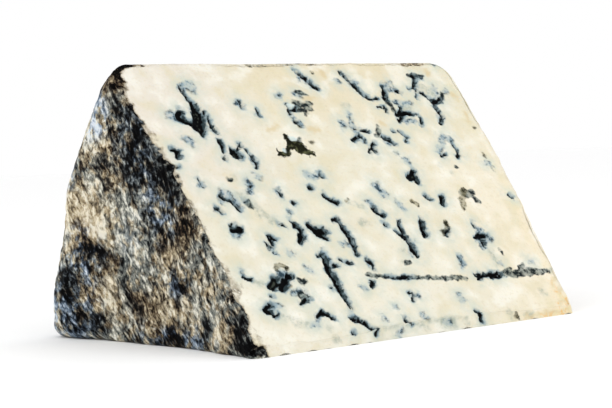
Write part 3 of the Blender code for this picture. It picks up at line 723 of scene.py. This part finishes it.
def srgb(red, green, blue):
    """A colour given as screen values from 0 to 255, made linear."""
    shares = [value / 255 for value in (red, green, blue)]
    return (*[s / 12.92 if s <= 0.04045 else ((s + 0.055) / 1.055) ** 2.4 for s in shares], 1.0)


SHEEN = 0.03

# Where the paste's tone changes: between which places along X and Z this sets in, in millimetres,
# its share and its colour. Greyer in the upper left, yellower to the right, whiter low down.
PASTE_REGIONS = (
    ((-15, -65), (40, 80), 0.8, srgb(217, 210, 198)),
    ((15, 80), (100, 40), 0.65, srgb(228, 218, 196)),
    ((50, 0), (50, 8), 0.6, srgb(224, 220, 206)),
)
PASTE_TONES = srgb(208, 201, 179), srgb(223, 220, 204)
PASTE_TOP = srgb(214, 201, 170)
PASTE_GRAIN = srgb(196, 184, 152)
SMEAR_TONES = srgb(208, 199, 168), srgb(234, 233, 224)

# The veins. Four kinds have two tones each: how ragged their edges are, between which depths they
# set in, the noise that thins them and to what shares, the noise between the tones, and the tones.
HAZE, HALO = srgb(194, 200, 188), srgb(138, 157, 164)
FAINT, TAN = srgb(134, 148, 138), srgb(204, 186, 146)
TWO_TONE_VEINS = {
    "soft": (1, (-1.5, 0.8), (0.35, 0.62, 0.35, 1.0), (0.48, 0.64), (126, 150, 164), (46, 64, 74)),
    "line": (0.7, (-0.6, 0.4), (0.3, 0.6, 0.6, 1.0), (0.4, 0.58), (92, 106, 104), (24, 33, 35)),
    "brown": (1.0, (-0.7, 0.5), (0.3, 0.65, 0.5, 1.0), (0.42, 0.6), (118, 112, 84), (40, 40, 26)),
    "olive": (1.6, (-0.5, 0.3), (0.3, 0.65, 1.0, 1.0), (0.5, 0.7), (22, 23, 10), (84, 86, 60)),
}
BODY_TONES = srgb(44, 57, 60), srgb(100, 116, 121)
# The black core is partly painted shadow, the heart partly painted light on a lit inner wall, and
# the pale tone a painted highlight.
CORE_AND_SHADOW, HEART_AND_LIT_WALL, VEIN_HIGHLIGHT = srgb(2, 3, 4), srgb(62, 68, 60), srgb(200, 212, 208)

# The cut's right rim and the orange specks in it, and its left edge beside the rind.
RIM, SPECKS = srgb(226, 204, 160), srgb(222, 176, 110)
WISPS, STAIN = srgb(112, 98, 74), srgb(128, 114, 90)


class Shading:
    """Short names for the nodes of one material. Distances are in millimetres."""

    def __init__(self, name):
        self.material = bpy.data.materials.new(name)
        self.material.use_nodes = True
        self.tree = self.material.node_tree
        self.shader = self.tree.nodes["Principled BSDF"]
        place = self.node("ShaderNodeTexCoord").outputs["Object"]
        self.place = self.vector("SCALE", place, scale=1 / MM)

    def node(self, kind, inputs=None, **settings):
        """A new node with these settings, and with values or links put on its inputs. An input that
        is None stays as it is."""
        made = self.tree.nodes.new(kind)
        for key, value in settings.items():
            setattr(made, key, value)
        for key, value in (inputs or {}).items():
            if value is not None:
                self.put(made.inputs[key], value)
        return made

    def put(self, socket, value):
        if isinstance(value, bpy.types.NodeSocket):
            self.tree.links.new(value, socket)
        else:
            socket.default_value = value

    def set(self, **values):
        """Values or links for the shader, named like its sockets with _ for each space."""
        for name, value in values.items():
            self.put(self.shader.inputs[name.replace("_", " ")], value)

    def vector(self, operation, first, second=None, scale=None):
        inputs = {0: first, 1: second, "Scale": scale}
        return self.node("ShaderNodeVectorMath", inputs, operation=operation).outputs[0]

    def math(self, operation, first, second):
        return self.node("ShaderNodeMath", {0: first, 1: second}, operation=operation).outputs[0]

    def plus(self, first, second):
        return self.math("ADD", first, second)

    def minus(self, first, second):
        return self.math("SUBTRACT", first, second)

    def times(self, first, second):
        return self.math("MULTIPLY", first, second)

    def part(self, vector, axis):
        return self.node("ShaderNodeSeparateXYZ", {0: vector}).outputs[axis]

    def attribute(self, name, output="Fac"):
        return self.node("ShaderNodeAttribute", attribute_name=name).outputs[output]

    def ease(self, value, low, high, least=0.0, most=1.0, kind="SMOOTHSTEP"):
        inputs = {"Value": value, "From Min": low, "From Max": high}
        inputs |= {"To Min": least, "To Max": most}
        return self.node("ShaderNodeMapRange", inputs, interpolation_type=kind).outputs["Result"]

    def noise(self, vector, size, detail=2.0, roughness=0.5, distortion=0.0, offset=None):
        """Noise around 0.5 with features of this size in the vector's own unit."""
        if offset:
            vector = self.vector("ADD", vector, offset)
        inputs = {"Vector": vector, "Scale": 1 / size, "Detail": detail}
        inputs |= {"Roughness": roughness, "Distortion": distortion}
        return self.node("ShaderNodeTexNoise", inputs).outputs["Fac"]

    def cells(self, vector, size):
        """How far the nearest of many scattered points is, as 0 to about 0.9 spacings."""
        inputs = {"Vector": vector, "Scale": 1 / size}
        return self.node("ShaderNodeTexVoronoi", inputs).outputs["Distance"]

    def stir(self, vector, size, amount):
        """The vector, moved by noise of this size."""
        inputs = {"Vector": vector, "Scale": 1 / size}
        noise_colour = self.node("ShaderNodeTexNoise", inputs).outputs["Color"]
        moved = self.vector("SUBTRACT", noise_colour, (0.5, 0.5, 0.5))
        return self.vector("ADD", vector, self.vector("SCALE", moved, scale=amount * 4))

    def wobble(self, source, amount):
        """Noise turned into an offset of at most about this many millimetres either way."""
        return self.times(self.minus(source, 0.5), amount * 4)

    def mix(self, share, first, second, blend="MIX"):
        inputs = {"Factor": share, 6: first, 7: second}
        return self.node("ShaderNodeMix", inputs, data_type="RGBA", blend_type=blend).outputs[2]

    def ramp(self, value, *stops):
        made = self.node("ShaderNodeValToRGB", {"Fac": value})
        elements = made.color_ramp.elements
        elements[0].position, elements[0].color = stops[0]
        elements[1].position, elements[1].color = stops[-1]
        for place, colour in stops[1:-1]:
            elements.new(place).color = colour
        return made.outputs["Color"]

    def bump(self, height, strength, distance, before=None):
        inputs = {"Height": height, "Strength": strength, "Distance": distance, "Normal": before}
        return self.node("ShaderNodeBump", inputs).outputs["Normal"]


def paste_colour(s):
    """Cream in broad regions of tone, with the knife's smears and fine grains."""
    x, z = s.part(s.place, "X"), s.part(s.place, "Z")
    colour = s.mix(s.noise(s.place, 14, 3.0, 0.6), *PASTE_TONES)
    for along_x, along_z, share, tone in PASTE_REGIONS:
        region = s.times(s.ease(x, *along_x), s.ease(z, *along_z))
        colour = s.mix(s.times(region, share), colour, tone)
    top = s.times(s.ease(z, 70, 105), s.ease(x, -45, -10))
    top = s.times(top, s.ease(x, 85, 45))
    colour = s.mix(s.times(top, 0.6), colour, PASTE_TOP)
    smear = s.noise(s.place, 9, 2.0, 0.4, 0.2, (31, 7, 2))
    for full, tone in zip((0.7, 0.3), SMEAR_TONES):
        colour = s.mix(s.ease(smear, 0.5, full, 0.0, 0.5), colour, tone)
    grains = s.noise(s.place, 1.3, 2.0, 0.5)
    return s.mix(s.ease(grains, 0.52, 0.75, 0.0, 0.25), colour, PASTE_GRAIN)


def paint_veins(s, colour, depths):
    """The veins over the paste: their haze and halo, then their own tones with a ragged edge, then
    black cores that are partly painted shadow, lighter hearts that are partly painted light, and
    painted highlights.
    """
    coarse = s.wobble(s.noise(s.place, 2.4, 2.0, 0.5, 0.4), 0.6)
    spikes = s.times(s.minus(s.cells(s.place, 2.4), 0.42), 1.1)
    ragged = s.plus(coarse, spikes)
    patchy = s.noise(s.place, 2.6, 3.0, 0.65, 0.0, (12, 4, 1))
    broad = s.noise(s.place, 4.0, 2.0, 0.5, 0.0, (2, 40, 1))

    haze = s.ease(s.math("MAXIMUM", depths["dark"], depths["soft"]), -7.0, 0.0)
    haze = s.times(haze, s.ease(broad, 0.35, 0.6, 0.25, 0.8))
    colour = s.mix(haze, colour, HAZE)
    faint = s.times(s.ease(depths["faint"], -1.5, 1.2), s.ease(patchy, 0.35, 0.65, 0.1, 0.6))
    colour = s.mix(faint, colour, FAINT)
    tan = s.times(s.ease(s.plus(depths["tan"], ragged), -1.4, 1.2), 0.7)
    colour = s.mix(tan, colour, TAN)
    near = s.plus(depths["dark"], s.times(ragged, 0.8))
    halo = s.times(s.ease(near, -1.35, 0.1), s.ease(broad, 0.32, 0.6, 0.35, 0.95))
    colour = s.mix(halo, colour, HALO)

    for name, (raggedness, edge, thinning, blend, *tones) in TWO_TONE_VEINS.items():
        depth = s.plus(depths[name], s.times(ragged, raggedness))
        share = s.times(s.ease(depth, *edge), s.ease(patchy, *thinning))
        tone = s.mix(s.ease(patchy, *blend), *[srgb(*tone) for tone in tones])
        colour = s.mix(share, colour, tone)

    flecks = s.noise(s.place, 2.0, 2.0, 0.5, 0.4, (2, 8, 5))
    body = s.ease(s.plus(depths["dark"], ragged), -0.25, 0.4)
    colour = s.mix(body, colour, s.mix(s.ease(flecks, 0.4, 0.62), *BODY_TONES))
    # The black core: partly the dark mould, partly painted shadow on one side of the vein's hollow.
    core = s.plus(depths["core"], s.times(ragged, 0.8))
    core = s.plus(core, s.wobble(flecks, 0.35))
    colour = s.mix(s.ease(core, -0.2, 0.3), colour, CORE_AND_SHADOW)
    # A lighter heart in the wide cores: partly the mould's own tone, partly painted light on the
    # hollow's lit inner wall.
    heart = s.times(s.ease(depths["core"], 0.9, 1.5), s.ease(patchy, 0.5, 0.6, 0.0, 0.85))
    colour = s.mix(heart, colour, HEART_AND_LIT_WALL)
    # Painted highlights: the pale glints on the wet veins, laid over all else.
    pale = s.plus(depths["pale"], s.times(ragged, 0.7))
    return s.mix(s.ease(pale, -0.6, 0.5, 0.0, 0.9), colour, VEIN_HIGHLIGHT)


# The rind's tones from the gaps between the tufts to their tips, and where each one lies. The black
# of the gaps is partly painted shade and the light of the tips partly painted light.
GREY_TUFTS = ((2, 2, 3), (47, 50, 51), (103, 107, 103), (154, 155, 145), (230, 228, 216))
WARM_TUFTS = ((3, 2, 1), (66, 54, 42), (125, 111, 88), (184, 168, 137), (236, 226, 203))
BLUE_TUFTS_AND_GLINTS = ((1, 2, 4), (38, 46, 56), (88, 102, 118), (146, 161, 178), (220, 228, 236))
TUFT_STOPS = (0.06, 0.28, 0.50, 0.72, 1.0)


def rind_colour(s):
    """A matted crust: black gaps between grey, brown and beige tufts, in patches of tone. The tone
    follows the relief's height, so the gaps' black is partly painted shade and the tips' light
    partly painted light.
    """
    grain = s.attribute("grain", "Vector")
    stirred = s.stir(grain, 4.0, 0.5)
    long_strands = s.noise(stirred, 1.8, 3.0, 0.62, 0.3)
    short_strands = s.noise(s.place, 1.9, 3.0, 0.62, 0.6, (5, 90, 2))
    strands = s.plus(s.times(long_strands, 0.64), s.times(short_strands, 0.36))
    knots = s.cells(stirred, 2.6)
    tufts = s.noise(stirred, 6.0, 3.0, 0.6, 0.5, (40, 11, 3))
    zones = s.noise(s.place, 17, 3.0, 0.55, 0.0, (3, 60, 9))
    height = s.plus(s.times(strands, 0.7), s.times(tufts, 0.5))
    height = s.minus(height, s.times(knots, 0.12))
    away = s.minus(1.0, s.attribute("left_end"))
    spread = s.plus(s.times(away, 0.4), 1.0)
    pale, dark = s.attribute("patch_pale"), s.attribute("patch_dark")
    contrast = s.minus(3.2, s.times(pale, 1.2))
    # The tone rises with the relief's height: painted shade in the low gaps, painted light on the
    # raised tips, over the crust's own tones.
    tone = s.times(s.minus(strands, 0.5), contrast)
    tone = s.plus(tone, s.times(s.minus(0.45, knots), 0.35))
    tone = s.plus(tone, s.times(s.minus(tufts, 0.5), 1.6))
    tone = s.plus(tone, s.times(s.minus(zones, 0.5), spread))
    tone = s.plus(tone, s.times(pale, 0.42))
    tone = s.minus(tone, s.times(dark, 0.46))
    tone = s.plus(tone, 0.54)
    grey, warm, blue = (
        s.ramp(tone, *[(stop, srgb(*colour)) for stop, colour in zip(TUFT_STOPS, tones)])
        for tones in (GREY_TUFTS, WARM_TUFTS, BLUE_TUFTS_AND_GLINTS)
    )
    mottled = s.noise(s.place, 4.5, 3.0, 0.6, 0.0, (70, 1, 33))
    warmth = s.plus(s.attribute("patch_warm"), s.times(away, s.ease(zones, 0.42, 0.6)))
    warmth = s.plus(warmth, s.ease(mottled, 0.45, 0.65, 0.0, 0.6))
    # The blue tone: partly the crust's blue-grey mould, partly painted bluish highlight on the
    # tufts' tips.
    cold = s.plus(s.attribute("patch_blue"), s.times(away, s.ease(zones, 0.45, 0.3)))
    cold = s.times(cold, s.ease(mottled, 0.6, 0.4, 0.1, 1.2))
    colour = s.mix(s.ease(warmth, 0.05, 1.0), grey, warm)
    return s.mix(s.ease(cold, 0.05, 0.8, 0.0, 0.95), colour, blue), height


def cheese_material():
    s = Shading("cheese")
    depths = {tone: s.attribute("vein_" + tone) for tone in TONES}
    paste = paint_veins(s, paste_colour(s), depths)
    rim = s.times(s.attribute("rim"), s.ease(s.noise(s.place, 6, 3.0, 0.6), 0.3, 0.7, 0.3, 1.0))
    paste = s.mix(s.times(rim, 0.8), paste, RIM, "DARKEN")
    specks = s.ease(s.noise(s.place, 1.8, 3.0, 0.65, 0.0, (9, 2, 6)), 0.5, 0.62)
    specks = s.times(specks, s.ease(s.attribute("rim"), 0.3, 0.9))
    paste = s.mix(s.times(specks, 0.8), paste, SPECKS)
    fibres, height = rind_colour(s)

    ragged = s.wobble(s.noise(s.place, 1.9, 3.0, 0.6, 0.6), 0.9)
    inside = s.plus(s.attribute("rind"), ragged)
    wisps = s.noise(s.place, 1.9, 3.0, 0.6, 0.8, (60, 2, 2))
    wisps = s.times(s.ease(wisps, 0.53, 0.63), s.ease(s.attribute("rind"), -3.0, -0.4, 0.0, 0.45))
    wisps = s.times(wisps, s.ease(s.attribute("left_end"), 0.2, 0.7))
    paste = s.mix(wisps, paste, WISPS)
    stain = s.ease(inside, -1.8, 0.0, 0.0, 0.65)
    stain = s.times(stain, s.ease(s.attribute("left_end"), 0.0, 0.6, 0.4, 1.0))
    paste = s.mix(stain, paste, STAIN)
    is_rind = s.ease(inside, -0.3, 0.45)
    s.set(Base_Color=s.mix(is_rind, paste, fibres))

    soft_lumps = s.noise(s.place, 4.5, 2.0, 0.5, 0.4, (9, 9, 1))
    crumb = s.noise(s.place, 0.9, 2.0, 0.5, 0.0, (1, 14, 3))
    normal = s.bump(soft_lumps, s.ease(is_rind, 0.0, 1.0, 0.35, 0.0), 0.0012)
    normal = s.bump(crumb, s.ease(is_rind, 0.0, 1.0, 0.2, 0.0), 0.0003, normal)
    normal = s.bump(height, s.ease(is_rind, 0.0, 1.0, 0.0, 1.0), 0.0026, normal)
    s.set(Normal=normal, Roughness=s.ease(is_rind, 0.0, 1.0, 0.5, 0.62), Specular_IOR_Level=SHEEN)
    s.set(Subsurface_Weight=0.12, Subsurface_Radius=(1.0, 0.75, 0.5), Subsurface_Scale=0.0015)
    return s.material


def underside_material():
    """The cut that the wedge lies on: the same paste, with veins of its own."""
    s = Shading("underside")
    blots = s.noise(s.place, 7.5, 3.0, 0.6, 0.6, (50, 20, 0))
    depth = s.ease(blots, 0.5, 0.72, -6.0, 3.0, kind="LINEAR")
    depths = dict.fromkeys(TONES, NO_VEIN) | {"dark": depth, "core": s.minus(depth, CORE_MARGIN)}
    s.set(Base_Color=paint_veins(s, paste_colour(s), depths))
    s.set(Normal=s.bump(s.noise(s.place, 2.0, 3.0, 0.6), 0.3, 0.0008))
    s.set(Roughness=0.55, Specular_IOR_Level=SHEEN)
    return s.material


# The room.

FLOOR_REACH = 6.0


def build_floor():
    mesh = bpy.data.meshes.new("floor")
    signs = ((-1, -1), (1, -1), (1, 1), (-1, 1))
    corners = [(FLOOR_REACH * x, FLOOR_REACH * y, 0) for x, y in signs]
    mesh.from_pydata(corners, [], [(0, 1, 2, 3)])
    floor = add_object("floor", mesh)
    s = Shading("floor")
    s.set(Base_Color=(0.99, 0.99, 0.99, 1), Roughness=0.9, Specular_IOR_Level=0.1)
    mesh.materials.append(s.material)


# Each light's name, place, size, power and colour, and where they all aim.
LIGHTS = (
    ("key", (0.3, -1.1, 0.5), 0.6, 3.4, (1.0, 0.98, 0.95)),
    ("side", (-1.0, 0.0, 0.8), 0.4, 2.0, (0.92, 0.96, 1.0)),
)
LIGHT_AIM = Vector((0, 0, 0.05))


def add_light(name, place, size, power, colour):
    data = bpy.data.lights.new(name, "AREA")
    data.size = size
    data.energy = power
    data.color = colour
    light = add_object(name, data)
    light.location = place
    light.rotation_euler = (LIGHT_AIM - Vector(place)).to_track_quat("-Z", "Y").to_euler()


def light_room():
    world = bpy.data.worlds.new("world")
    bpy.context.scene.world = world
    world.use_nodes = True
    background = world.node_tree.nodes["Background"]
    background.inputs["Color"].default_value = (1, 1, 1, 1)
    background.inputs["Strength"].default_value = 1.0
    for light in LIGHTS:
        add_light(*light)
    bpy.context.scene.view_settings.view_transform = "Standard"


place_camera()
cheese = build_cheese()
cheese.data.materials.append(cheese_material())
cheese.data.materials.append(underside_material())
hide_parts("wedge")
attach(cheese, "root")
build_floor()
light_room()
